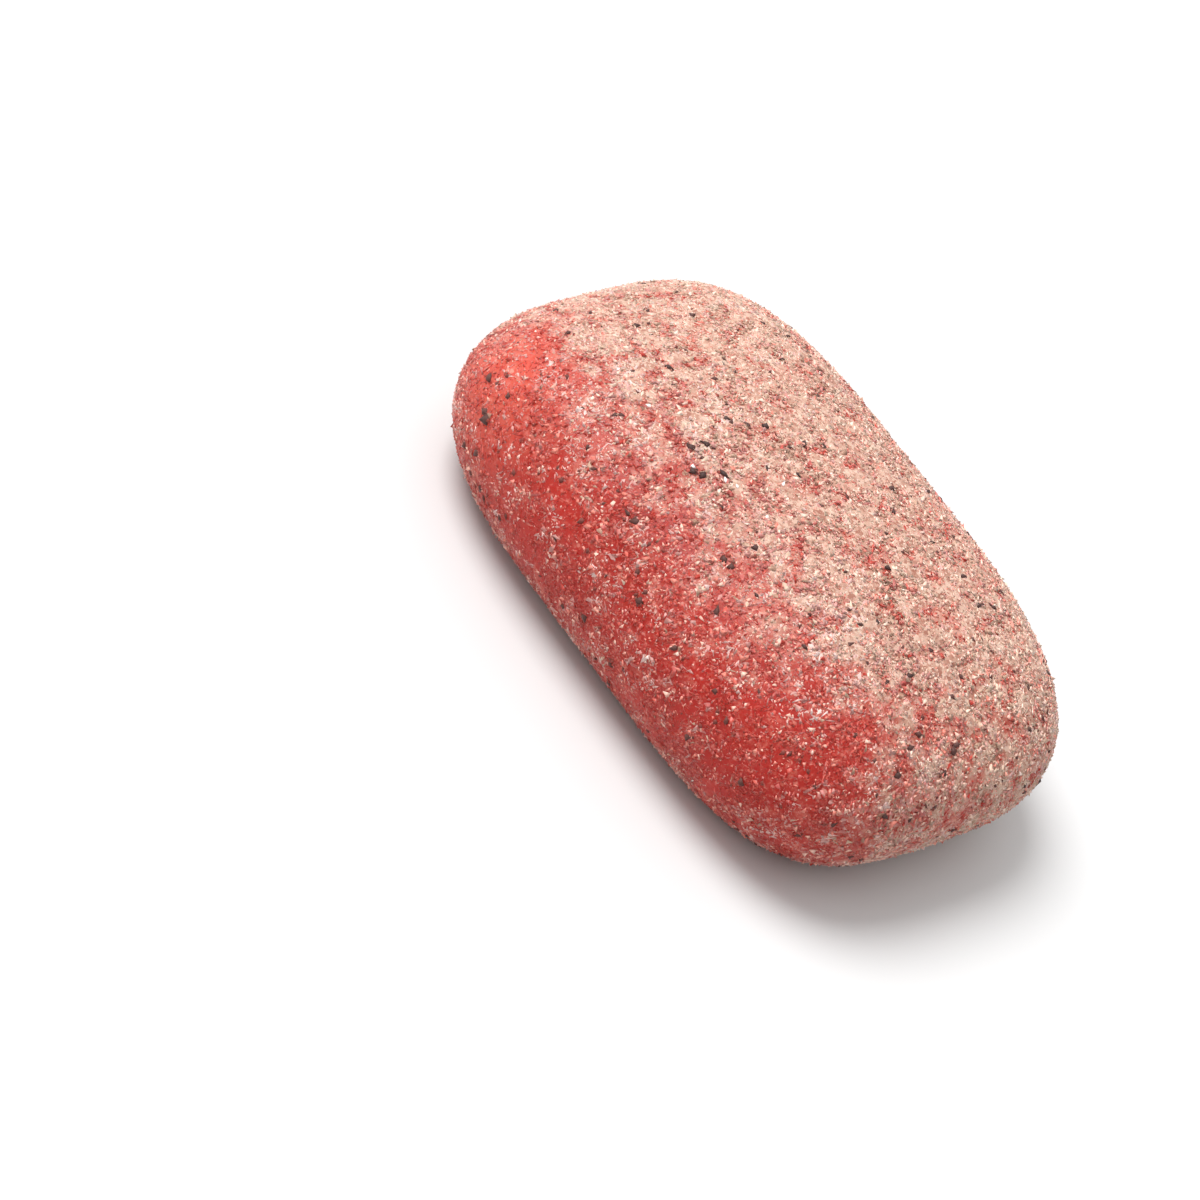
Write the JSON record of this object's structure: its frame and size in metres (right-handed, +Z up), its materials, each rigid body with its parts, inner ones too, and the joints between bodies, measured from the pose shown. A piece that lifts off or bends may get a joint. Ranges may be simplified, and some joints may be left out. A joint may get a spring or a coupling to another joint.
{
  "type": "powdered plum gummy",
  "caption": "One soft jelly sweet, a low rounded-rectangle pillow with a flat underside, coated in fine powder with dark leaf flecks and sugar crystals.",
  "frame": {"origin": "on the surface it lies on, below the middle of the flat underside", "axes": "+X along the length, +Y across the width, +Z up out of the crown"},
  "size_m": [0.0222, 0.0143, 0.0074],
  "materials": {
    "powdered_jelly": null
  },
  "bodies": {
    "root": {"gummy": "powdered_jelly"}
  },
  "joints": []
}
